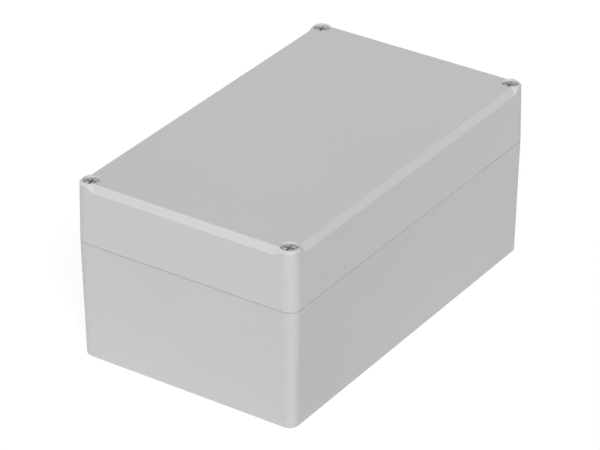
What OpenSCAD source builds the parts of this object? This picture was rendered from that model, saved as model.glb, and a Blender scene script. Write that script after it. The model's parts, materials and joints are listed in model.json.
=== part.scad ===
// Plastic project box: a base and a deep bevelled lid that close on a gasket, held by four captive corner screws.
// Sizes are in millimetres. The origin is the middle of the underside, X runs along the length and Z points up.
// The seam, where base and lid meet, is the widest part of the box: both mouldings taper away from it.

/* [Outside] */
// Length of the box at the seam
box_l = 200; // [160:1:300]
// Width of the box at the seam
box_w = 120; // [100:1:200]
// Height of the base, from the underside to the seam
base_h = 61; // [40:1:120]
// Height of the lid, from the seam to its top
lid_h = 30.5; // [26:0.5:50]
// Radius of the upright corners at the seam, which is also how far each lid screw stands in from two walls
corner_r = 6; // [5.8:0.1:7]
// Taper of the walls away from the seam, in degrees
draft = 1.1; // [0.5:0.1:1.6]
// Bevel round the underside
foot_bevel = 1; // [0.3:0.1:2]
// Bevel on the lid's outer lip at the seam
seam_bevel = 0.15; // [0.1:0.05:0.4]
// Height of the fine gap that shows as a line under that lip
line_h = 0.2; // [0.1:0.05:0.4]
// Depth of that gap, which is cut in the base's rim only
line_w = 0.5; // [0.3:0.05:0.5]

/* [Lid bevels] */
// Width of the bevel along the four top edges
bevel_w = 2.7; // [1.5:0.1:3.4]
// Drop of that bevel
bevel_h = 3.3; // [2:0.1:5]
// Width of the flat rim round the mouth of each screw hole
post_rim = 0.3; // [0.2:0.1:1.5]
// Widening of the screw hole at its mouth, on each side
mouth_w = 0.35; // [0.2:0.05:0.6]
// Depth of that widening
mouth_h = 0.8; // [0.4:0.1:2]

/* [Walls] */
// Thickness of the side walls
wall = 3.5; // [3:0.1:4.5]
// Thickness of the base's floor
floor_t = 3.5; // [2.5:0.1:6]
// Thickness of the lid's roof
roof_t = 3.5; // [2.5:0.1:6]
// Bevel between the walls and the floor or the roof, inside
inner_bevel = 1.5; // [0.5:0.1:3]
// Radius of the hollow's upright corners
hollow_r = 2.5; // [1:0.1:5]

/* [Wall mounting] */
// Distance of the mounting holes from the end walls' seam outline
mount_inset = 7.5; // [6.5:0.1:10]
// Distance of each mounting hole from the lid screw beside it, across the box
mount_offset = 11; // [9.5:0.5:16]
// Diameter of the mounting hole
mount_d = 4.3; // [3.5:0.1:5.5]
// Diameter of the well that takes the mounting screw's head
well_d = 7.6; // [7:0.1:8.2]
// Thickness left under the well
well_floor = 5; // [3:0.5:10]
// Radius of the corner towers, measured from the middle of the well
tower_r = 7.5; // [7.2:0.1:10]

/* [Seal] */
// Thickness of the tongue that stands on the base's rim
tongue_w = 1.3; // [0.8:0.1:1.6]
// Height of the tongue above the seam
tongue_h = 2.5; // [1.5:0.1:4]
// Width of the groove in the lid's rim
groove_w = 2; // [1.8:0.1:2.2]
// Height of the gasket that fills the top of the groove
gasket_h = 2.2; // [1:0.1:4]
// Gap between the tongue's crest and the gasket
gasket_gap = 0.05; // [0.02:0.01:0.2]

/* [Lid screws] */
// Diameter of the screw head
head_d = 7; // [6:0.1:7.2]
// Height of the screw head
head_h = 2.6; // [2.2:0.1:4]
// Depth of the head below the top of the lid
head_sink = 0.8; // [0.4:0.1:3]
// Gap all round the head in its hole
head_gap = 0.25; // [0.15:0.05:0.35]
// Length of each arm of the cross recess, from tip to tip
recess_l = 5.6; // [3:0.1:5.8]
// Width of each arm
recess_w = 1.1; // [0.6:0.1:1.4]
// Depth of the recess
recess_h = 1.7; // [1:0.1:2]
// Turn of the recess from the box's length, in degrees
recess_turn = 10; // [0:5:90]
// Diameter of the plain neck
neck_d = 3.2; // [2.6:0.1:3.4]
// Diameter over the thread
thread_d = 4; // [3.7:0.1:4.2]
// Gap all round the thread in the lid
shank_gap = 0.4; // [0.3:0.05:0.8]
// Distance that the screw can rise in the lid
screw_travel = 10.5; // [8:0.5:14]
// Bevel on the screw's tip and on the rim of its head
edge = 0.4; // [0.2:0.1:0.6]

/* [Screw retainers] */
// Thickness of the ring that keeps the screw in the lid
retainer_t = 1.2; // [0.8:0.1:2]
// Diameter of the ring
retainer_d = 7; // [6:0.1:7.2]
// Gap all round the ring in the lid
retainer_gap = 0.2; // [0.1:0.05:0.3]
// Height of the ring above the seam
retainer_lift = 0.4; // [0.2:0.1:1]
// Gap between the neck and the ring, and between the ring and the thread under it
running_gap = 0.05; // [0.02:0.01:0.1]

/* [Threaded inserts] */
// Outer diameter of the insert
insert_d = 5.6; // [5.2:0.1:6.2]
// Length of the insert
insert_l = 9; // [6:0.5:14]
// Depth of its top below the seam
insert_sink = 0.3; // [0.1:0.1:1]
// Width of the plain band between its two knurled ends
insert_band = 1.6; // [0.8:0.1:3]
// Depth of that band
insert_band_h = 0.4; // [0.2:0.1:0.5]
// Gap all round the thread in the insert
thread_gap = 0.05; // [0.02:0.01:0.1]
// Space left under the screw's tip
tip_space = 2; // [1:0.5:5]

/* [Pillars] */
// Distance of the end pillars from the end walls' seam outline
pillar_inset_x = 26; // [22:1:40]
// Distance of all pillars from the side walls' seam outline
pillar_inset_y = 16; // [10:1:24]
// Diameter of a pillar
pillar_d = 7; // [5:0.1:9]
// Height of a pillar above the floor, or below the roof
pillar_h = 6; // [3:0.5:15]
// Diameter of the pilot hole for a self-tapping screw
pilot_d = 2.6; // [2:0.1:4]
// Depth of the pilot hole
pilot_h = 7.5; // [3:0.5:8]

/* [Hidden] */
$fn = 96;
OVER = 1;
NUMBERS = [1, 2, 3, 4];
CORNERS = [[-1, -1], [1, -1], [1, 1], [-1, 1]];

seam_z = base_h;
top_z = base_h + lid_h;
slope = tan(draft);
screw_x = box_l / 2 - corner_r;
screw_y = box_w / 2 - corner_r;
mount_x = box_l / 2 - mount_inset;
mount_y = screw_y - mount_offset;
pillar_x = box_l / 2 - pillar_inset_x;
pillar_y = box_w / 2 - pillar_inset_y;

// Lid screw, from its head down to its tip
head_z = top_z - head_sink;
seat_z = head_z - head_h;
retainer_z = seam_z + retainer_lift;
pocket_z = retainer_z + retainer_t + screw_travel;
thread_z = retainer_z - running_gap;
insert_z = seam_z - insert_sink;
tip_z = insert_z - screw_travel;
head_hole_r = head_d / 2 + head_gap;
shank_hole_r = thread_d / 2 + shank_gap;

// Seal, from the tongue's crest up to the top of the groove
gasket_z = seam_z + tongue_h + gasket_gap;
groove_z = gasket_z + gasket_h;

// Outsides and hollows as stations up the walls: [height, inset from the seam outline]
base_outside = [
    [0, slope * (seam_z - foot_bevel) + foot_bevel],
    [foot_bevel, slope * (seam_z - foot_bevel)],
    [seam_z - line_h, slope * line_h],
    [seam_z - line_h, line_w],
    [seam_z, line_w]];
lid_walls = [
    [seam_z, seam_bevel],
    [seam_z + seam_bevel, slope * seam_bevel],
    [top_z - bevel_h, slope * (lid_h - bevel_h)],
    [top_z, slope * (lid_h - bevel_h) + bevel_w]];
lid_corners = [
    [seam_z, seam_bevel],
    [seam_z + seam_bevel, slope * seam_bevel],
    [top_z, slope * lid_h]];
base_hollow = [
    [floor_t, wall + slope * (seam_z - floor_t) + inner_bevel],
    [floor_t + inner_bevel, wall + slope * (seam_z - floor_t - inner_bevel)],
    [seam_z + OVER, wall - slope * OVER]];
lid_hollow = [
    [seam_z - OVER, wall - slope * OVER],
    [top_z - roof_t - inner_bevel, wall + slope * (lid_h - roof_t - inner_bevel)],
    [top_z - roof_t, wall + slope * (lid_h - roof_t) + inner_bevel]];

// ---- Shapes that more than one piece uses ----

// Puts its children at corner number i, counted from 1 at the front left
module at_screw(i) {
    translate([CORNERS[i - 1].x * screw_x, CORNERS[i - 1].y * screw_y, 0])
        children();
}

// Puts its children at all four points (+-x, +-y)
module at_four(x, y) {
    for (c = CORNERS)
        translate([c.x * x, c.y * y, 0])
            children();
}

// Upright section that is symmetrical about the middle, half wide at the seam outline
function section(half, stations) = concat(
    [for (s = stations) [half - s.y, s.x]],
    [for (i = [len(stations) - 1 : -1 : 0]) [stations[i].y - half, stations[i].x]]);

// The section drawn along the length of the box
module long_bar(stations, length) {
    rotate([90, 0, 90])
        linear_extrude(length, center = true)
            polygon(section(box_w / 2, stations));
}

// The section drawn across the width of the box
module cross_bar(stations, length) {
    rotate([90, 0, 0])
        linear_extrude(length, center = true)
            polygon(section(box_l / 2, stations));
}

// Turned posts at the upright corners
module posts(stations) {
    foot_z = stations[0].x;
    crest_z = stations[len(stations) - 1].x;
    at_four(screw_x, screw_y)
        rotate_extrude()
            polygon(concat([[0, crest_z], [0, foot_z]], [for (s = stations) [corner_r - s.y, s.x]]));
}

// Outside with round upright corners
module outer_form(stations) {
    bars(stations);
    posts(stations);
}

// Both bars, which leave the corners outside the screws open
module bars(stations) {
    long_bar(stations, 2 * screw_x);
    cross_bar(stations, 2 * screw_y);
}

// Rectangle with round corners, x by y from its middle
module round_plate(x, y, r) {
    square([2 * x, 2 * (y - r)], center = true);
    square([2 * (x - r), 2 * y], center = true);
    at_four(x - r, y - r)
        circle(r);
}

// Plan of the hollow between the four corner towers, with its outline moved outwards by grow
module hollow_plan(grow) {
    round_plate(mount_x - tower_r + grow, box_w / 2 - wall + grow, hollow_r + grow);
    round_plate(box_l / 2 - wall + grow, mount_y - tower_r + grow, hollow_r + grow);
    for (c = CORNERS)
        scale([c.x, c.y])
            tower_fillet(tower_r - grow);
}

// What lies outside a tower's round inner corner
module tower_fillet(r) {
    difference() {
        translate([mount_x - r - OVER, mount_y - r - OVER])
            square(r + OVER);
        translate([mount_x, mount_y])
            circle(r);
    }
}

// Closed band along the middle of the rim, on the inner side of the lid screws
module seal_band(width) {
    difference() {
        hollow_plan((wall + width) / 2);
        hollow_plan((wall - width) / 2);
    }
}

// Hollow of a moulding, between the heights z0 and z1
module hollow(stations, z0, z1) {
    intersection() {
        long_bar(stations, box_l);
        cross_bar(stations, box_w);
        translate([0, 0, z0])
            linear_extrude(z1 - z0)
                hollow_plan(0);
    }
}

// ---- Base ----

module base() {
    color([0.74, 0.74, 0.73]) {
        difference() {
            outer_form(base_outside);
            hollow(base_hollow, floor_t, seam_z + OVER);
            at_four(screw_x, screw_y)
                insert_hole();
            at_four(mount_x, mount_y)
                mounting_well();
            at_base_pillars()
                translate([0, 0, floor_t + pillar_h - pilot_h])
                    cylinder(h = pilot_h, d = pilot_d);
        }
        translate([0, 0, seam_z - OVER])
            linear_extrude(tongue_h + OVER)
                seal_band(tongue_w);
        at_base_pillars()
            base_pillar();
    }
}

// Hole for a threaded insert, with room for the screw's tip below it
module insert_hole() {
    translate([0, 0, insert_z - insert_l])
        cylinder(h = insert_sink + insert_l + OVER, d = insert_d);
    translate([0, 0, tip_z - tip_space])
        cylinder(h = insert_z - tip_z + tip_space - insert_l + OVER, r = shank_hole_r);
}

// Well and through hole for a wall-mounting screw
module mounting_well() {
    translate([0, 0, well_floor])
        cylinder(h = seam_z - well_floor + OVER, d = well_d);
    translate([0, 0, -OVER])
        cylinder(h = well_floor + 2 * OVER, d = mount_d);
}

module at_base_pillars() {
    for (x = [-pillar_x, 0, pillar_x])
        for (y = [-pillar_y, pillar_y])
            translate([x, y, 0])
                children();
}

module base_pillar() {
    difference() {
        translate([0, 0, floor_t - OVER])
            cylinder(h = pillar_h + OVER, d = pillar_d);
        translate([0, 0, floor_t + pillar_h - pilot_h])
            cylinder(h = pilot_h + OVER, d = pilot_d);
    }
}

// ---- Lid ----

module lid() {
    color([0.76, 0.76, 0.75]) {
        difference() {
            lid_outside();
            hollow(lid_hollow, seam_z - OVER, top_z - roof_t);
            translate([0, 0, seam_z - OVER])
                linear_extrude(groove_z - seam_z + OVER)
                    seal_band(groove_w);
            at_four(screw_x, screw_y)
                screw_hole();
            at_four(mount_x, mount_y)
                translate([0, 0, seam_z - OVER])
                    cylinder(h = lid_h - roof_t + OVER, d = well_d);
        }
        at_four(pillar_x, pillar_y)
            lid_pillar();
    }
}

// Bevelled walls and roof, with a column in each corner that stands clear of the bevels
module lid_outside() {
    bars(lid_walls);
    intersection() {
        outer_form(lid_corners);
        at_four(screw_x, screw_y)
            screw_column();
    }
}

// Column round a lid screw, which flares down from its rim at the slope of the long bevels
module screw_column() {
    rim_r = head_hole_r + mouth_w + post_rim;
    rotate_extrude()
        polygon([
            [0, seam_z - OVER], [rim_r + bevel_w, seam_z - OVER], [rim_r + bevel_w, top_z - bevel_h],
            [rim_r, top_z], [rim_r - OVER, top_z + OVER * bevel_h / bevel_w],
            [0, top_z + OVER * bevel_h / bevel_w]]);
}

// Stepped hole for a lid screw: mouth, head, shank, and the pocket that its retainer slides in
module screw_hole() {
    pocket_r = retainer_d / 2 + retainer_gap;
    rotate_extrude()
        polygon([
            [0, seam_z - OVER], [pocket_r, seam_z - OVER], [pocket_r, pocket_z],
            [shank_hole_r, pocket_z], [shank_hole_r, seat_z], [head_hole_r, seat_z],
            [head_hole_r, top_z - mouth_h], [head_hole_r + mouth_w, top_z],
            [head_hole_r + mouth_w, top_z + OVER], [0, top_z + OVER]]);
}

module lid_pillar() {
    difference() {
        translate([0, 0, top_z - roof_t - pillar_h])
            cylinder(h = pillar_h + OVER, d = pillar_d);
        translate([0, 0, top_z - roof_t - pillar_h - OVER])
            cylinder(h = pillar_h + OVER, d = pilot_d);
    }
}

// ---- Seal and fasteners ----

module gasket() {
    color([0.3, 0.3, 0.31])
        translate([0, 0, gasket_z])
            linear_extrude(gasket_h)
                seal_band(groove_w);
}

// Cheese-head screw with a plain neck and a short thread
module lid_screw(i) {
    head_r = head_d / 2;
    thread_r = thread_d / 2;
    color([0.75, 0.76, 0.77])
        at_screw(i)
            difference() {
                rotate_extrude()
                    polygon([
                        [0, tip_z], [thread_r - edge, tip_z], [thread_r, tip_z + edge],
                        [thread_r, thread_z], [neck_d / 2, thread_z], [neck_d / 2, seat_z],
                        [head_r, seat_z], [head_r, head_z - edge], [head_r - edge, head_z],
                        [0, head_z]]);
                for (turn = [0, 90])
                    rotate(recess_turn + turn)
                        recess_arm();
            }
}

// One arm of the cross recess, which narrows towards its bottom
module recess_arm() {
    half = recess_l / 2;
    narrow = recess_h / 2;
    translate([0, 0, head_z])
        rotate([90, 0, 0])
            linear_extrude(recess_w, center = true)
                polygon([[-half, 0], [narrow - half, -recess_h], [half - narrow, -recess_h], [half, 0],
                    [half, OVER], [-half, OVER]]);
}

// Ring that rests on the screw's thread and stops under the shoulder of its pocket
module screw_retainer(i) {
    color([0.9, 0.9, 0.88])
        at_screw(i)
            translate([0, 0, retainer_z])
                difference() {
                    cylinder(h = retainer_t, d = retainer_d);
                    translate([0, 0, -OVER])
                        cylinder(h = retainer_t + 2 * OVER, r = neck_d / 2 + running_gap);
                }
}

// Brass insert with a plain band between its two ends and a bevelled mouth
module threaded_insert(i) {
    bore_r = thread_d / 2 + thread_gap;
    outer_r = insert_d / 2;
    foot_z = insert_z - insert_l;
    band_z = foot_z + (insert_l - insert_band) / 2;
    color([0.78, 0.62, 0.3])
        at_screw(i)
            rotate_extrude()
                polygon([
                    [bore_r, foot_z], [outer_r, foot_z], [outer_r, band_z],
                    [outer_r - insert_band_h, band_z], [outer_r - insert_band_h, band_z + insert_band],
                    [outer_r, band_z + insert_band], [outer_r, insert_z], [bore_r + edge, insert_z],
                    [bore_r, insert_z - edge]]);
}

base();
lid();
gasket();
for (i = NUMBERS) {
    lid_screw(i);
    screw_retainer(i);
    threaded_insert(i);
}
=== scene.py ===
# %% [markdown]
# # A plastic project box
#
# The box is two moulded halves that close on a gasket, with a captive screw in
# each corner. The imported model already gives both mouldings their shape, so the
# lid only gets a finish, and the base a finish and a finer edge round its foot.
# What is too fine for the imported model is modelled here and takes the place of
# its plain solid: the threaded screws, the knurled inserts, the slit retainer
# rings and the soft gasket.

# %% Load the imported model
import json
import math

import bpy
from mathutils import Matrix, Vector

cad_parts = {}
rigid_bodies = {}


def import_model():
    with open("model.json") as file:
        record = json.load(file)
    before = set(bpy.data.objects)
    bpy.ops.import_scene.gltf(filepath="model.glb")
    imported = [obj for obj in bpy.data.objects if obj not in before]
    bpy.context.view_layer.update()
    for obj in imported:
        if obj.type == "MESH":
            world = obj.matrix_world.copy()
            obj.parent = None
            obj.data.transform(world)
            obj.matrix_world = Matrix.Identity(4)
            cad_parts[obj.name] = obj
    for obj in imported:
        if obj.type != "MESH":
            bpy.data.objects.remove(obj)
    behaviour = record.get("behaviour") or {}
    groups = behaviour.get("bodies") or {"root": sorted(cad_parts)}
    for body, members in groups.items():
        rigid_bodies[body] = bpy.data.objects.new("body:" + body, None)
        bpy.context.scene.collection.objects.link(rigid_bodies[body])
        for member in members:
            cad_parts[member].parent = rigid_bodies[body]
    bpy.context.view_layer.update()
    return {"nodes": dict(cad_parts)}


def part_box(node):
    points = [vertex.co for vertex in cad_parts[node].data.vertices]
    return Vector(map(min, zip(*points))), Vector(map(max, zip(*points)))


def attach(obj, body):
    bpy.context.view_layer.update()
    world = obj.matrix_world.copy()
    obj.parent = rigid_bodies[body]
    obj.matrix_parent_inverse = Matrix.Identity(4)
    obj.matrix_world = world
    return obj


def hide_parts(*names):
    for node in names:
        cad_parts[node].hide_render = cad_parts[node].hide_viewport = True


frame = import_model()

# %% [markdown]
# ## Size and units
#
# The finish must not make the box larger than it is. The script's sizes are in
# millimetres, and MM turns them into metres.

MM = 0.001

# %% [markdown]
# ## Where the fasteners are
#
# All four screws are alike, so each kind of fastener is modelled once, round
# the Z axis at its true height, and then copied to the corners. The packed
# model says where the corners are: the middle of each screw's box.

# %% Measure the screws' axes
CORNERS = (1, 2, 3, 4)


def axis_of(i):
    low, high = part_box(f"lid_screw_{i}")
    return (low + high) / 2


screw_x, screw_y = axis_of(3).x, axis_of(3).y
screw_foot, screw_top = (corner.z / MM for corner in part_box("lid_screw_1"))
print("screw axes, mm:", round(screw_x / MM, 2), round(screw_y / MM, 2))
print("screw from", round(screw_foot, 2), "to", round(screw_top, 2))

# %% [markdown]
# ## Tools for selecting
#
# By hand, a piece is clicked and its points are boxed with the mouse. A script
# has no mouse, so it names the piece, and picks the points by a test on their
# place. A test can be read again later, and it still finds the right points
# when a size changes.

# %% Selection helpers
MERGE = 0.0005 * MM                     # closer points of a new piece are one point
CAD_MERGE = 0.001 * MM                  # and those of a copied solid


def only(piece):
    """Selects one piece and nothing else."""
    bpy.ops.object.select_all(action="DESELECT")
    piece.select_set(True)
    bpy.context.view_layer.objects.active = piece


def pick(piece, wanted):
    """Goes to edit mode with just the vertices that pass the test selected."""
    bpy.ops.object.mode_set(mode="EDIT")
    bpy.ops.mesh.select_mode(type="VERT")
    bpy.ops.mesh.select_all(action="DESELECT")
    bpy.ops.object.mode_set(mode="OBJECT")
    for vertex in piece.data.vertices:
        vertex.select = wanted(vertex)
    bpy.ops.object.mode_set(mode="EDIT")


def close_up():
    """Merges what meets, turns the faces outwards and leaves edit mode."""
    bpy.ops.mesh.select_all(action="SELECT")
    bpy.ops.mesh.remove_doubles(threshold=MERGE)
    bpy.ops.mesh.normals_make_consistent(inside=False)
    bpy.ops.object.mode_set(mode="OBJECT")


def report(piece):
    print(piece.name, "has", len(piece.data.polygons), "faces")


# %% [markdown]
# ## Tools for turned pieces
#
# Screws, rings and inserts come off a lathe, so each is a row of circles on one
# axis. A curve turned by the Screw modifier would do as well, but a circle that
# is added, then extruded and resized from one station to the next, is the way
# to do it by hand, and its circles can be shaped one by one later. A hollow
# piece is a ring of edges that goes up the outside and down the bore, and
# closes on its first circle. What a tool cuts out of it is a boolean.

# %% Lathe and cutting helpers


def turned(name, rings, sides, hollow=False):
    """A piece turned about Z. Each ring is (radius, height) in millimetres."""
    radius, height = rings[0]
    bpy.ops.object.select_all(action="DESELECT")
    bpy.ops.mesh.primitive_circle_add(
        vertices=sides, radius=radius * MM, fill_type="NOTHING" if hollow else "NGON")
    piece = bpy.context.object
    piece.name = name
    bpy.ops.object.mode_set(mode="EDIT")
    bpy.ops.mesh.select_all(action="SELECT")
    bpy.ops.transform.translate(value=(0, 0, height * MM))
    for next_radius, next_height in rings[1:] + (rings[:1] if hollow else []):
        rise = (0, 0, (next_height - height) * MM)
        grow = next_radius / radius
        bpy.ops.mesh.extrude_region_move(TRANSFORM_OT_translate={"value": rise})
        bpy.ops.transform.resize(value=(grow, grow, 1), center_override=(0, 0, 0))
        radius, height = next_radius, next_height
    close_up()
    return piece


def carve(piece, cutter):
    """Cuts one piece out of another and throws the cutter away."""
    cut = piece.modifiers.new("cut", "BOOLEAN")
    cut.operation = "DIFFERENCE"
    cut.solver = "EXACT"
    cut.object = cutter
    only(piece)
    bpy.ops.object.modifier_apply(modifier=cut.name)
    bpy.data.objects.remove(cutter)


# %% [markdown]
# ## The thread
#
# An M4 thread climbs 0.7 mm a turn. It is one trapezoid wound round the axis,
# which the Screw modifier does. The same tool winds the screw's ridge outwards
# from its core and the insert's ridge inwards from its bore, half a turn's rise
# apart, so that each fills the other's groove and they stay in step as the
# screw turns. The screw's ridge fades into the core at both ends, as a rolled
# thread does.

# %% Thread helper
PITCH, STEPS = 0.7, 32                  # rise in a turn, and stations in a turn
RIDGE_ROOT, RIDGE_CREST = 0.86, 0.2     # widths: of the pitch, and of the root
SECTION = 4                             # points in the ridge's section
NEAR = 0.01 * MM                        # as good as in the same place


def wind_thread(name, root, crest, foot, turns):
    """A ridge from radius root to radius crest, whose middle starts at height foot."""
    bpy.ops.object.select_all(action="DESELECT")
    bpy.ops.mesh.primitive_plane_add(size=1, rotation=(math.pi / 2, 0, 0))
    ridge = bpy.context.object
    ridge.name = name
    bpy.ops.object.transform_apply(location=False, rotation=True, scale=False)
    bpy.ops.object.mode_set(mode="EDIT")
    bpy.ops.mesh.select_all(action="SELECT")
    width = abs(crest - root)
    bpy.ops.transform.resize(
        value=(width * MM, 1, RIDGE_ROOT * PITCH * MM), center_override=(0, 0, 0))
    bpy.ops.transform.translate(value=((root + crest) / 2 * MM, 0, foot * MM))
    pick(ridge, lambda vertex: abs(vertex.co.x - crest * MM) < NEAR)
    bpy.ops.transform.resize(value=(1, 1, RIDGE_CREST), center_override=(0, 0, foot * MM))
    bpy.ops.object.mode_set(mode="OBJECT")
    wind = ridge.modifiers.new("wind", "SCREW")
    wind.axis = "Z"
    wind.screw_offset = PITCH * MM
    wind.iterations = turns
    wind.steps = wind.render_steps = STEPS
    bpy.ops.object.modifier_apply(modifier=wind.name)
    bpy.ops.object.mode_set(mode="EDIT")
    bpy.ops.mesh.select_all(action="SELECT")
    bpy.ops.mesh.fill_holes(sides=SECTION)
    close_up()
    return ridge


# %% [markdown]
# ## The lid screw
#
# It is a cheese-head screw with a bevelled rim, a plain neck that runs in the
# retainer ring, and a short thread. Its outline is drawn from the foot up: a
# small point, the thread's core, a collar, the neck, and the head. Stations
# set close together at a rim give it the small round that the lathe leaves.

# %% Turn the screw's body
HEAD_R, HEAD_H = 3.5, 2.6
HEAD_BEVEL, HEAD_ROUND, SEAT_BEVEL, FLAT_R = 0.4, 0.12, 0.15, 2.3
NECK_R, CORE_R, THREAD_R, FILLET = 1.6, 1.6, 1.98, 0.3
TIP_R, POINT_R, POINT_H, TIP_H = 1.2, 1.5, 0.3, 0.7
COLLAR_FOOT, COLLAR_LIP, THREAD_TOP = 60.85, 60.95, 61.35
seat = screw_top - HEAD_H
screw = turned("screw", [
    (TIP_R, screw_foot), (POINT_R, screw_foot + POINT_H), (CORE_R, screw_foot + TIP_H),
    (CORE_R, COLLAR_FOOT), (THREAD_R, COLLAR_LIP), (THREAD_R, THREAD_TOP),
    (NECK_R, THREAD_TOP), (NECK_R, seat - FILLET), (NECK_R + FILLET, seat),
    (HEAD_R - SEAT_BEVEL, seat), (HEAD_R, seat + SEAT_BEVEL),
    (HEAD_R, screw_top - HEAD_BEVEL), (HEAD_R - HEAD_ROUND, screw_top - HEAD_ROUND),
    (HEAD_R - HEAD_BEVEL, screw_top), (FLAT_R, screw_top)], sides=96)
report(screw)

# %% [markdown]
# ## The cross recess
#
# The recess is punched into the head. It is two tapered arms that cross, and a
# cone in the middle, where a driver's point goes. Each arm is a cube whose lower
# face is drawn in, and all three are cut out of the head with booleans, which
# leaves the crisp inner edges that a punch leaves.

# %% Cut the cross recess
ARM_L, ARM_W, ARM_H, ARM_TURN = 5.6, 1.1, 1.7, 10
ARM_OVER, ARM_TAPER = 1.0, 0.8          # height above the head, and width at the bottom
CONE_R, CONE_MOUTH_R, CONE_H, CONE_OVER = 0.35, 0.95, 2.1, 0.5


def recess_cutter(length, width, depth, turn):
    """A bar from the recess's bottom to above the head, with ends that slope inwards."""
    bpy.ops.object.select_all(action="DESELECT")
    bpy.ops.mesh.primitive_cube_add(size=1)
    bar = bpy.context.object
    bpy.ops.object.mode_set(mode="EDIT")
    bpy.ops.mesh.select_all(action="SELECT")
    bpy.ops.transform.resize(
        value=(length * MM, width * MM, (depth + ARM_OVER) * MM), center_override=(0, 0, 0))
    bpy.ops.transform.translate(value=(0, 0, (screw_top + (ARM_OVER - depth) / 2) * MM))
    pick(bar, lambda vertex: vertex.co.z < screw_top * MM)
    bpy.ops.transform.resize(
        value=(1 - depth / length, ARM_TAPER, 1), center_override=(0, 0, 0))
    bpy.ops.object.mode_set(mode="OBJECT")
    bar.rotation_euler.z = math.radians(turn)
    bpy.ops.object.transform_apply(location=False, rotation=True, scale=False)
    return bar


for turn in (ARM_TURN, ARM_TURN + 90):
    carve(screw, recess_cutter(ARM_L, ARM_W, ARM_H, turn))
cone = [(CONE_R, screw_top - CONE_H), (CONE_MOUTH_R, screw_top + CONE_OVER)]
carve(screw, turned("cone", cone, sides=24))
report(screw)

# %% [markdown]
# ## The screw's thread
#
# The ridge is wound a little into the core, so that no gap can open between
# them. A ridge that stopped dead would end in a flat cut, so the first and last
# few stations are drawn in, one after the other, until they vanish in the core.

# %% Wind the screw's thread and fade its ends
SINK, FADE = 0.05, 10                   # depth in the core, and stations drawn in
THREAD_START, THREAD_SPARE = 0.6, 0.9   # core left plain at the foot, and in all
thread_foot = screw_foot + THREAD_START
thread_turns = int((COLLAR_FOOT - screw_foot - THREAD_SPARE) / PITCH)
ridge = wind_thread("ridge", CORE_R - SINK, THREAD_R, thread_foot, thread_turns)
for end in (0, thread_turns * STEPS):
    for i in range(FADE):
        station = abs(end - i)
        keep = CORE_R / THREAD_R + (1 - CORE_R / THREAD_R) * i / FADE
        pick(ridge, lambda vertex: vertex.index // SECTION == station)
        bpy.ops.transform.resize(value=(keep, keep, 1), center_override=(0, 0, 0))
bpy.ops.object.mode_set(mode="OBJECT")
rise = ridge.data.vertices[SECTION * STEPS].co.z - ridge.data.vertices[0].co.z
print("ridge climbs", round(rise / MM, 3), "mm a turn, for", thread_turns, "turns")
ridge.select_set(True)
screw.select_set(True)
bpy.context.view_layer.objects.active = screw
bpy.ops.object.join()
report(screw)

# %% [markdown]
# ## The retainer ring
#
# A nylon ring pushed over the thread holds each screw in the lid. It can only
# pass the thread because its bore is slit, so four short slits are cut with
# thin blocks. Its rims are bevelled, like any turned plastic washer. Its top is
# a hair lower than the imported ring's, because it stops the screw by touching
# the lid from below, and two faces in one place would flicker there.

# %% Turn and slit the retainer ring
RING_R, RING_BORE, RING_BEVEL, STOP_GAP = 3.5, 1.65, 0.15, 0.03
SLIT, SLIT_TURNS = (5.0 * MM, 0.35 * MM, 3 * MM), (45, 135)
ring_foot, ring_top = (corner.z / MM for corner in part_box("screw_retainer_1"))
ring_top -= STOP_GAP
retainer = turned("retainer", [
    (RING_BORE, ring_foot + RING_BEVEL), (RING_BORE + RING_BEVEL, ring_foot),
    (RING_R - RING_BEVEL, ring_foot), (RING_R, ring_foot + RING_BEVEL),
    (RING_R, ring_top - RING_BEVEL), (RING_R - RING_BEVEL, ring_top),
    (RING_BORE + RING_BEVEL, ring_top), (RING_BORE, ring_top - RING_BEVEL)],
    sides=72, hollow=True)
for turn in SLIT_TURNS:
    bpy.ops.object.select_all(action="DESELECT")
    bpy.ops.mesh.primitive_cube_add(
        size=1, location=(0, 0, (ring_foot + ring_top) / 2 * MM),
        rotation=(0, 0, math.radians(turn)), scale=SLIT)
    carve(retainer, bpy.context.object)
report(retainer)

# %% [markdown]
# ## The threaded insert
#
# Each screw bites in a brass insert that is pressed into the base. Two knurled
# bands, with a narrower plain band between them, keep it from turning or
# pulling out. It is turned on the same lathe, as a hollow piece. The knurled
# bands get a few more circles than their outline needs, for the next step.

# %% Turn the insert
INSERT_R, BAND_R, BORE_R = 2.8, 2.4, 2.1
BAND_H, RIM_BEVEL, BORE_BEVEL = 1.6, 0.25, 0.35
TEETH, KNURL_LOOPS = 40, 4
insert_foot, insert_top = (corner.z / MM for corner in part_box("threaded_insert_1"))
band_foot = insert_foot + (insert_top - insert_foot - BAND_H) / 2
band_top = band_foot + BAND_H


def knurl_loops(z0, z1):
    return [(INSERT_R, z0 + (z1 - z0) * n / KNURL_LOOPS) for n in range(KNURL_LOOPS + 1)]


lower_knurl = knurl_loops(insert_foot + RIM_BEVEL, band_foot)
upper_knurl = knurl_loops(band_top, insert_top - RIM_BEVEL)
insert = turned(
    "insert",
    [(BORE_R + BORE_BEVEL, insert_foot), (INSERT_R - RIM_BEVEL, insert_foot)]
    + lower_knurl + [(BAND_R, band_foot), (BAND_R, band_top)] + upper_knurl
    + [(INSERT_R - RIM_BEVEL, insert_top), (BORE_R + BORE_BEVEL, insert_top),
       (BORE_R, insert_top - BORE_BEVEL), (BORE_R, insert_foot + BORE_BEVEL)],
    sides=2 * TEETH, hollow=True)
report(insert)

# %% [markdown]
# ## The knurl
#
# A knurl is pressed in by a toothed wheel, so its teeth are as fine as the
# wheel's and lean to one side. Teeth could be made one by one and copied round,
# but they are quicker made from the lathe's own circles: every other point is
# drawn in, and each circle is turned a little further than the one below.

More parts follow.
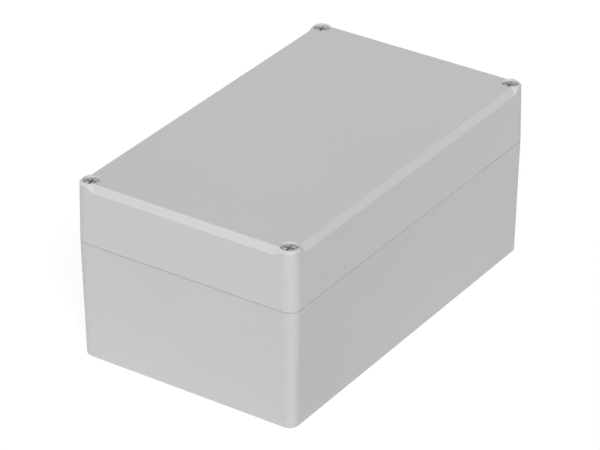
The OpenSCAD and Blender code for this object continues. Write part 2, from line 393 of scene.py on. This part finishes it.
# %% Knurl the insert
TOOTH, TWIST = 0.93, 2.2                # reach of a root, and degrees from loop to loop
ON_CREST, OFF_BAND = INSERT_R - 0.1, BAND_R + 0.15


def on_loop(vertex, radius, height):
    """Whether a vertex lies at this height and outside this radius."""
    return vertex.co.xy.length > radius * MM and abs(vertex.co.z - height * MM) < NEAR


def is_root(vertex):
    """Every other point of a circle."""
    return round(math.atan2(vertex.co.y, vertex.co.x) / math.pi * TEETH) % 2 == 0


for loops in (lower_knurl, upper_knurl):
    for n, (_, height) in enumerate(loops):
        pick(insert, lambda vertex: on_loop(vertex, ON_CREST, height) and is_root(vertex))
        bpy.ops.transform.resize(value=(TOOTH, TOOTH, 1), center_override=(0, 0, 0))
        pick(insert, lambda vertex: on_loop(vertex, OFF_BAND, height))
        bpy.ops.transform.rotate(value=math.radians(n * TWIST), orient_axis="Z",
                                 center_override=(0, 0, 0))
bpy.ops.object.mode_set(mode="OBJECT")
print("knurl with", TEETH, "teeth on", len(lower_knurl) + len(upper_knurl), "loops")

# %% [markdown]
# ## The insert's thread
#
# The inner ridge is the screw's in reverse: its root lies in the brass and its
# crest points inwards. It starts a whole number of turns and a half above the
# screw's, so that the two ridges pass each other at every height.

# %% Wind the insert's thread
INNER_CREST, INNER_SINK = 1.67, 0.04
INNER_START, INNER_SPARE = 0.7, 1.4     # bore left plain at the foot, and in all
inner_turns = int((insert_top - insert_foot - INNER_SPARE) / PITCH) - 1
turns_up = math.ceil((insert_foot + INNER_START - thread_foot) / PITCH)
inner_foot = thread_foot + (turns_up + 0.5) * PITCH
groove = wind_thread("groove", BORE_R + INNER_SINK, INNER_CREST, inner_foot, inner_turns)
groove.select_set(True)
insert.select_set(True)
bpy.context.view_layer.objects.active = insert
bpy.ops.object.join()
report(insert)

# %% [markdown]
# ## The gasket
#
# A soft rubber cord fills the top of the lid's groove. Its path already exists
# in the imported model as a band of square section, so a copy of that band is
# merged into clean faces, and its four long edges are rounded with a bevel.

# %% Round the gasket
CORD_ROUND, CORD_SEGMENTS = 0.55, 4
NEARLY_FLAT, SHARP = math.radians(0.5), math.radians(60)


def copy_of(node, name):
    """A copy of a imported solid, with its own mesh and free of its parent."""
    only(frame["nodes"][node])
    bpy.ops.object.duplicate()
    piece = bpy.context.object
    bpy.ops.object.parent_clear(type="CLEAR_KEEP_TRANSFORM")
    piece.name = name
    return piece


def merge_triangles():
    """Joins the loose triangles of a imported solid, and stays in edit mode."""
    bpy.ops.object.mode_set(mode="EDIT")
    bpy.ops.mesh.select_all(action="SELECT")
    bpy.ops.mesh.remove_doubles(threshold=CAD_MERGE)


gasket = copy_of("gasket", "gasket_cord")
merge_triangles()
bpy.ops.mesh.dissolve_limited(angle_limit=NEARLY_FLAT)
bpy.ops.mesh.select_mode(type="EDGE")
bpy.ops.mesh.select_all(action="DESELECT")
bpy.ops.mesh.edges_select_sharp(sharpness=SHARP)
bpy.ops.mesh.bevel(
    offset=CORD_ROUND * MM, segments=CORD_SEGMENTS, affect="EDGES", clamp_overlap=False)
close_up()
report(gasket)

# %% [markdown]
# ## The foot of the base
#
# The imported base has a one-millimetre bevel round its foot, but the real mould
# only just breaks that edge. A new base could be modelled from nothing, but all
# the rest of it is right, so a merged copy is used. The bevel's vertices lie in
# rings, one above the other, and are found by their height and by how far out
# they are.

# %% Copy the base and find its foot
FOOT_BEVEL, PACKED_BEVEL, DRAFT = 0.25, 1.0, math.radians(1.1)
INNER_REACH = 3                         # all of the foot's bevel lies outside this
base = copy_of("base", "moulded_base")
bpy.ops.mesh.customdata_custom_splitnormals_clear()
merge_triangles()
bpy.ops.object.mode_set(mode="OBJECT")


def reach_of(vertex):
    """How far a vertex lies outside the rectangle between the posts' axes, in mm."""
    past_x = max(abs(vertex.co.x) - screw_x, 0)
    past_y = max(abs(vertex.co.y) - screw_y, 0)
    return math.hypot(past_x, past_y) / MM


foot_rings = {}
for vertex in base.data.vertices:
    height = round(vertex.co.z / MM, 3)
    if height <= PACKED_BEVEL and reach_of(vertex) > INNER_REACH:
        foot_rings.setdefault(height, {})[vertex.index] = reach_of(vertex)
print("foot's rings at", sorted(foot_rings), "mm")

# %% [markdown]
# ## The finer edge
#
# Every ring, from the underside up to the wall, slides down and is stretched
# away from the rectangle that joins the corner posts' axes. Stretching from
# there, and not from the middle of the box, lets the straight walls and the
# round posts keep their own draft.

# %% Sharpen the foot
upper_reach = max(foot_rings[PACKED_BEVEL].values())
lower_reach = upper_reach - (PACKED_BEVEL - FOOT_BEVEL) * math.tan(DRAFT) - FOOT_BEVEL
for height, ring in foot_rings.items():
    new_height = height * FOOT_BEVEL / PACKED_BEVEL
    grow = (lower_reach + new_height) / max(ring.values())
    for side in (-1, 1):
        pick(base, lambda vertex: vertex.index in ring and side * vertex.co.x > screw_x)
        bpy.ops.transform.resize(value=(grow, 1, 1), center_override=(side * screw_x, 0, 0))
        pick(base, lambda vertex: vertex.index in ring and side * vertex.co.y > screw_y)
        bpy.ops.transform.resize(value=(1, grow, 1), center_override=(0, side * screw_y, 0))
    pick(base, lambda vertex: vertex.index in ring)
    bpy.ops.transform.translate(value=(0, 0, (new_height - height) * MM))
bpy.ops.object.mode_set(mode="OBJECT")
foot = [reach_of(base.data.vertices[n]) for ring in foot_rings.values() for n in ring]
print("foot's bevel from", round(min(foot), 3), "to", round(max(foot), 3), "mm outside")
report(base)

# %% [markdown]
# ## Shared effects
#
# Two effects are used by more than one material. Drawing their nodes again in
# each would be a way to do it, but then a change has to be made in each. So
# each is a node group, built once from these two helpers. It gives one value
# that changes finely, for the bump, and one that changes slowly, for the tone.

# %% Node helpers


def new_node(tree, kind, values=None, **settings):
    node = tree.nodes.new(kind)
    for name, value in settings.items():
        setattr(node, name, value)
    for socket, value in (values or {}).items():
        node.inputs[socket].default_value = value
    return node


def new_group(name, inputs, outputs):
    tree = bpy.data.node_groups.new(name, "ShaderNodeTree")
    for socket, kind in inputs:
        tree.interface.new_socket(socket, in_out="INPUT", socket_type=kind)
    for socket in outputs:
        tree.interface.new_socket(socket, in_out="OUTPUT", socket_type="NodeSocketFloat")
    return tree, tree.nodes.new("NodeGroupInput"), tree.nodes.new("NodeGroupOutput")


def join(tree, links):
    """Draws the links from outputs to inputs."""
    for output, socket in links:
        tree.links.new(output, socket)


# %% [markdown]
# ### Mould grain
#
# A spark-eroded steel mould leaves a fine sandy skin on the plastic. One noise
# texture is that skin. Another, hundreds of times larger, is a slow cloud that
# keeps a large flat face from looking drawn.

# %% Mould grain
grain_group, ends_in, ends_out = new_group(
    "mould grain", [("Vector", "NodeSocketVector"), ("Grain", "NodeSocketFloat")],
    ["Height", "Cloud"])
fine = new_node(grain_group, "ShaderNodeTexNoise", {"Detail": 3.0, "Roughness": 0.6})
cloud = new_node(grain_group, "ShaderNodeTexNoise", {"Scale": 9.0, "Detail": 2.0})
join(grain_group, (
    (ends_in.outputs["Vector"], fine.inputs["Vector"]),
    (ends_in.outputs["Grain"], fine.inputs["Scale"]),
    (ends_in.outputs["Vector"], cloud.inputs["Vector"]),
    (fine.outputs["Fac"], ends_out.inputs["Height"]),
    (cloud.outputs["Fac"], ends_out.inputs["Cloud"])))
print(grain_group.name, "has", len(grain_group.nodes), "nodes")

# %% [markdown]
# ### Turning marks
#
# A lathe leaves fine rings round a fastener's own axis. A noise that reads only
# the distance from the axis, and the height, gives rings at any place. The four
# axes mirror each other, so the absolute value of the place folds all four onto
# one, and one group serves every corner.

# %% Turning marks
marks_group, ends_in, ends_out = new_group(
    "turning marks", [("Vector", "NodeSocketVector"), ("Marks", "NodeSocketFloat")],
    ["Height", "Stain"])
fold = new_node(marks_group, "ShaderNodeVectorMath", operation="ABSOLUTE")
centre = new_node(marks_group, "ShaderNodeMapping",
                  {"Location": (-screw_x, -screw_y, 0.0)}, vector_type="POINT")
split = new_node(marks_group, "ShaderNodeSeparateXYZ")
flat = new_node(marks_group, "ShaderNodeCombineXYZ")
reach = new_node(marks_group, "ShaderNodeVectorMath", operation="LENGTH")
lines = new_node(marks_group, "ShaderNodeCombineXYZ")
rings = new_node(marks_group, "ShaderNodeTexNoise", {"Detail": 2.0})
stain = new_node(marks_group, "ShaderNodeTexNoise", {"Scale": 700.0, "Detail": 3.0})
join(marks_group, (
    (ends_in.outputs["Vector"], fold.inputs[0]),
    (fold.outputs["Vector"], centre.inputs["Vector"]),
    (centre.outputs["Vector"], split.inputs["Vector"]),
    (split.outputs["X"], flat.inputs["X"]),
    (split.outputs["Y"], flat.inputs["Y"]),
    (flat.outputs["Vector"], reach.inputs[0]),
    (reach.outputs["Value"], lines.inputs["X"]),
    (split.outputs["Z"], lines.inputs["Z"]),
    (lines.outputs["Vector"], rings.inputs["Vector"]),
    (ends_in.outputs["Marks"], rings.inputs["Scale"]),
    (centre.outputs["Vector"], stain.inputs["Vector"]),
    (rings.outputs["Fac"], ends_out.inputs["Height"]),
    (stain.outputs["Fac"], ends_out.inputs["Stain"])))
print(marks_group.name, "has", len(marks_group.nodes), "nodes")

# %% [markdown]
# ## Materials
#
# Every material here has the same plan: a texture group reads the place on the
# piece, a two-colour ramp turns its slow output into a gentle change of tone, a
# second ramp turns it into roughness, and a Bump node takes the fine output. A
# helper lays that plan out, and each finish gives its own colours and depths.
# Round edges matter too: a moulding has no edge sharper than a few tenths of a
# millimetre, and the Bevel node shades the edges as if they were rounded so.

# %% Material helper
NOISE_LOW, NOISE_HIGH = 0.3, 0.7        # between these lies nearly all of a noise
REFLECTION, EDGE_SAMPLES = 0.4, 6


def finish_of(name, group, size, colours, gloss, depth, strength, edge=0.0, **shader):
    """A Principled material whose tone, roughness and bump follow a texture group."""
    material = bpy.data.materials.new(name)
    material.use_nodes = True
    tree = material.node_tree
    principled = tree.nodes["Principled BSDF"]
    principled.inputs["Specular IOR Level"].default_value = REFLECTION
    for socket, value in shader.items():
        principled.inputs[socket.replace("_", " ")].default_value = value
    place = new_node(tree, "ShaderNodeTexCoord")
    texture = new_node(tree, "ShaderNodeGroup", node_tree=group)
    texture.inputs[1].default_value = size
    fine, slow = texture.outputs[0], texture.outputs[1]
    tone = new_node(tree, "ShaderNodeValToRGB")
    stops = tone.color_ramp.elements
    stops[0].position, stops[1].position = NOISE_LOW, NOISE_HIGH
    for stop, colour in zip(stops, colours):
        stop.color = (*colour, 1)
    rough = new_node(tree, "ShaderNodeMapRange", {
        "From Min": NOISE_LOW, "From Max": NOISE_HIGH, "To Min": gloss[0], "To Max": gloss[1]})
    bump = new_node(tree, "ShaderNodeBump", {"Strength": strength, "Distance": depth * MM})
    join(tree, (
        (place.outputs["Object"], texture.inputs["Vector"]),
        (slow, tone.inputs["Fac"]), (fine, rough.inputs["Value"]),
        (fine, bump.inputs["Height"]),
        (tone.outputs["Color"], principled.inputs["Base Color"]),
        (rough.outputs["Result"], principled.inputs["Roughness"]),
        (bump.outputs["Normal"], principled.inputs["Normal"])))
    if edge:
        round_edge = new_node(
            tree, "ShaderNodeBevel", {"Radius": edge * MM}, samples=EDGE_SAMPLES)
        tree.links.new(round_edge.outputs["Normal"], bump.inputs["Normal"])
    print(name, "with roughness", gloss[0], "to", gloss[1])
    return material


# %% [markdown]
# ### Light grey moulding
#
# Both halves are a light, very slightly warm grey. The grain is about a third
# of a millimetre and only hundredths deep, so it dulls the shine and breaks up
# highlights without showing as a pattern. The lid and the base are the same
# plastic, but the base is made a shade deeper, as painted shade for its walls
# that lean away from the light.

# %% Plastic for the lid and the base
PLASTIC_GLOSS, EDGE_ROUND = (0.50, 0.62), 0.25
GRAIN, GRAIN_DEPTH, GRAIN_BUMP = 2600.0, 0.02, 0.35
lid_plastic = finish_of(
    "lid plastic", grain_group, GRAIN, [(0.512, 0.513, 0.502), (0.528, 0.528, 0.516)],
    PLASTIC_GLOSS, GRAIN_DEPTH, GRAIN_BUMP, edge=EDGE_ROUND)
# The base's grey is a shade deeper than the lid's: painted shade for its drafted walls.
shaded_base_plastic = finish_of(
    "base plastic", grain_group, GRAIN, [(0.508, 0.509, 0.498), (0.524, 0.524, 0.512)],
    PLASTIC_GLOSS, GRAIN_DEPTH, GRAIN_BUMP, edge=EDGE_ROUND)

# %% [markdown]
# ### Steel, brass, nylon and rubber
#
# The screws are stainless steel with the satin skin that tumbling leaves, its grey
# darkened as a painted reflection of a dim surrounding. The punched recess is
# rougher and gets a finish of its own, darker still as painted shade in the recess.
# The inserts are brass straight off the lathe. The rings are natural nylon, which
# lets a little light in. The gasket is a dead matt, slightly porous rubber.

# %% Materials for the fasteners and the gasket
# This steel's grey is darker than bright steel: a painted reflection of a dim surrounding.
steel = finish_of(
    "turned steel", marks_group, 9000.0,
    [(0.34, 0.34, 0.342), (0.42, 0.42, 0.42)], (0.32, 0.42), 0.005, 0.2, Metallic=1.0)
# Darker than the heads' steel: painted shade in the recess.
shaded_recess_steel = finish_of(
    "steel in the recess", marks_group, 3000.0,
    [(0.30, 0.30, 0.298), (0.38, 0.38, 0.375)], (0.5, 0.65), 0.02, 0.4, Metallic=1.0)
brass = finish_of(
    "turned brass", marks_group, 7000.0,
    [(0.55, 0.38, 0.14), (0.66, 0.47, 0.19)], (0.22, 0.36), 0.01, 0.3, Metallic=1.0)
nylon = finish_of(
    "natural nylon", grain_group, 1800.0,
    [(0.74, 0.74, 0.69), (0.80, 0.80, 0.75)], (0.38, 0.5), 0.01, 0.2,
    Subsurface_Weight=0.25, Subsurface_Scale=0.0006)
rubber = finish_of(
    "gasket rubber", grain_group, 3500.0,
    [(0.035, 0.035, 0.036), (0.050, 0.050, 0.051)], (0.75, 0.9), 0.06, 0.6)

# %% [markdown]
# ## Dress the mouldings
#
# The pillars, towers, groove and seam of both mouldings are real geometry
# already, so a material is all they need. The copy of the base has lost its
# smooth shading in the merge, and gets it back here. Weighted normals keep its
# large walls flat where they run into the round posts.

# %% Dress the mouldings
MOULD_SMOOTH = math.radians(20)
for moulding, plastic in ((base, shaded_base_plastic), (frame["nodes"]["lid"], lid_plastic)):
    moulding.data.materials.clear()
    moulding.data.materials.append(plastic)
    print(moulding.name, "has", len(moulding.data.polygons), "triangles of", plastic.name)
only(base)
bpy.ops.object.shade_smooth_by_angle(angle=MOULD_SMOOTH)
weigh = base.modifiers.new("weigh", "WEIGHTED_NORMAL")
weigh.keep_sharp = True
bpy.ops.object.modifier_apply(modifier=weigh.name)
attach(base, "base")
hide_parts("base")

# %% [markdown]
# ## Finish the fasteners
#
# Each fastener gets its material and smooth shading once, before it is copied.
# The screw has two finishes, and faces that lie in the recess take the second,
# which is darker as painted shade. They could be painted with a mask, but a punch
# leaves a sharp border, and a material for each face gives just that.

# %% Finish the fasteners
PART_SMOOTH = math.radians(35)
ABOVE_SEAT, BELOW_TOP, PAST_ARM = 0.3, 0.01, 0.05


def smooth(piece, material):
    piece.data.materials.clear()
    piece.data.materials.append(material)
    only(piece)
    bpy.ops.object.shade_smooth_by_angle(angle=PART_SMOOTH)


smooth(screw, steel)
# The recess's faces take the darker steel, which is painted shade.
screw.data.materials.append(shaded_recess_steel)
shaded_recess_faces = 0
for face in screw.data.polygons:
    deep = seat + ABOVE_SEAT < face.center.z / MM < screw_top - BELOW_TOP
    if deep and face.center.xy.length < (ARM_L / 2 + PAST_ARM) * MM:
        face.material_index = 1
        shaded_recess_faces += 1
print("faces in the recess:", shaded_recess_faces)
smooth(retainer, nylon)
smooth(insert, brass)
smooth(gasket, rubber)

# %% [markdown]
# ## Set the pieces in the box
#
# The fasteners are copied to the four corners, each copy with its own mesh. A
# copy's object goes back to the origin, so that its place is in its mesh, as in
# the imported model. It rides on the body that carries it: the screw turns in its
# ring, the ring rises with the screw, and the insert stays in the base.

# %% Copy the fasteners to the corners


def seat_in_corners(pattern, name, node, body):
    """Copies a finished piece to the corners, where each copy replaces a plain solid."""
    for i in CORNERS:
        only(pattern)
        bpy.ops.object.duplicate()
        piece = bpy.context.object
        piece.name = f"{name}_{i}"
        piece.location = (axis_of(i).x, axis_of(i).y, 0)
        bpy.ops.object.transform_apply(location=True, rotation=False, scale=False)
        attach(piece, body.format(i))
        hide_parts(f"{node}_{i}")
    print(len(CORNERS), "of", name)
    bpy.data.objects.remove(pattern)


seat_in_corners(screw, "turned_screw", "lid_screw", "screw_{}")
seat_in_corners(retainer, "slit_retainer", "screw_retainer", "retainer_{}")
seat_in_corners(insert, "knurled_insert", "threaded_insert", "base")
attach(gasket, "lid")
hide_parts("gasket")

# %% [markdown]
# ## Studio
#
# The box stands on a plain pale sweep under soft light. A broad key lamp near
# the camera gives each face its own even tone. A weaker and lower lamp from the
# far left lifts the top and the lid's sloped edges, and the world fills the
# rest, so a colour comes out about as it is written. Area lamps would do as
# well, but sun lamps light every point alike, however far it is. They are set
# wide, because then their shadows have no hard edge.

# %% Lamps
scene = bpy.context.scene
scene.view_settings.view_transform = "Standard"


def soft_lamp(name, toward, energy, spread):
    bpy.ops.object.select_all(action="DESELECT")
    bpy.ops.object.light_add(type="SUN")
    lamp = bpy.context.object
    lamp.name = name
    lamp.data.energy = energy
    lamp.data.angle = math.radians(spread)
    lamp.rotation_mode = "QUATERNION"
    lamp.rotation_quaternion = Vector(toward).to_track_quat("Z", "Y")
    print(name, "at level", energy)


soft_lamp("key_lamp", (-0.589, -0.500, 0.634), 2.90, 30)
soft_lamp("side_lamp", (-0.200, 0.940, 0.276), 1.05, 40)

# %% [markdown]
# ## World
#
# The world is two backgrounds. A weak one lights the box from all round, and a
# full white one is what the camera sees, in steel and through glass as well.
# Light Path tells the two apart, so that the ground can be white and the box
# isn't lit too strongly.

# %% World
FILL = 0.25


def seen_directly(tree):
    """1 for what the camera sees directly, in a reflection or through glass."""
    path = new_node(tree, "ShaderNodeLightPath")
    first = new_node(tree, "ShaderNodeMath", operation="MAXIMUM")
    second = new_node(tree, "ShaderNodeMath", operation="MAXIMUM")
    join(tree, (
        (path.outputs["Is Camera Ray"], first.inputs[0]),
        (path.outputs["Is Glossy Ray"], first.inputs[1]),
        (first.outputs[0], second.inputs[0]),
        (path.outputs["Is Transmission Ray"], second.inputs[1])))
    return second.outputs[0]


world = bpy.data.worlds.new("studio")
scene.world = world
world.use_nodes = True
tree = world.node_tree
fill = tree.nodes["Background"]
fill.inputs["Color"].default_value = (1, 1, 1, 1)
fill.inputs["Strength"].default_value = FILL
white = new_node(tree, "ShaderNodeBackground", {"Color": (1, 1, 1, 1), "Strength": 1.0})
choose = new_node(tree, "ShaderNodeMixShader")
join(tree, (
    (seen_directly(tree), choose.inputs[0]),
    (fill.outputs[0], choose.inputs[1]),
    (white.outputs[0], choose.inputs[2]),
    (choose.outputs[0], tree.nodes["World Output"].inputs["Surface"])))
print("world at level", FILL)

# %% [markdown]
# ## Floor
#
# A white sheet lies under the box. To the camera it glows a little, so that it
# looks as white as the world behind it, but it still takes the object's soft
# shadow. It lights the object only as a pale matt floor would. It lies a hair
# below the box's underside, so that the two faces don't fight for one place.

# %% Floor
FLOOR_SIZE, FLOOR_DROP = 8, 0.05 * MM
PAPER = 0.68                            # as the box sees it
SHADE, GLOW = 0.24, 0.80                # as the camera sees it
bpy.ops.mesh.primitive_plane_add(size=FLOOR_SIZE, location=(0, 0, -FLOOR_DROP))
floor = bpy.context.object
floor.name = "floor"
paper = bpy.data.materials.new("white paper")
paper.use_nodes = True
tree = paper.node_tree
matt = tree.nodes["Principled BSDF"]
matt.inputs["Base Color"].default_value = (PAPER, PAPER, PAPER, 1)
matt.inputs["Roughness"].default_value = 0.95
matt.inputs["Specular IOR Level"].default_value = 0.0
shaded = new_node(tree, "ShaderNodeBsdfDiffuse", {"Color": (SHADE, SHADE, SHADE, 1)})
glow = new_node(tree, "ShaderNodeEmission", {"Color": (1, 1, 1, 1), "Strength": GLOW})
both = new_node(tree, "ShaderNodeAddShader")
choose = new_node(tree, "ShaderNodeMixShader")
join(tree, (
    (shaded.outputs[0], both.inputs[0]),
    (glow.outputs[0], both.inputs[1]),
    (seen_directly(tree), choose.inputs[0]),
    (matt.outputs[0], choose.inputs[1]),
    (both.outputs[0], choose.inputs[2]),
    (choose.outputs[0], tree.nodes["Material Output"].inputs["Surface"])))
floor.data.materials.append(paper)
print("floor", FLOOR_SIZE, "m across")

# %% [markdown]
# ## Camera
#
# The view is of the front left corner, a little more than half a right angle
# round and thirty degrees up. The camera could be placed by eye, but a turn, a
# height, a distance and a point to look at are easier to change one by one. A
# long lens from a metre and a half keeps the box's edges almost parallel.

# %% Camera
AZIMUTH, ELEVATION = math.radians(-56.052), math.radians(29.650)
DISTANCE, AIM = 1.5117, Vector((-0.00354, 0.00130, 0.04187))
SENSOR, LENS, NEAREST, FARTHEST = 36, 192.28, 0.05, 20
back = Vector((math.sin(AZIMUTH) * math.cos(ELEVATION),
               -math.cos(AZIMUTH) * math.cos(ELEVATION),
               math.sin(ELEVATION)))
bpy.ops.object.select_all(action="DESELECT")
bpy.ops.object.camera_add(location=AIM + back * DISTANCE)
camera = bpy.context.object
camera.rotation_mode = "QUATERNION"
camera.rotation_quaternion = back.to_track_quat("Z", "Y")
camera.data.sensor_width, camera.data.lens = SENSOR, LENS
camera.data.clip_start, camera.data.clip_end = NEAREST, FARTHEST
scene.camera = camera
print("camera at", [round(value, 3) for value in camera.location])
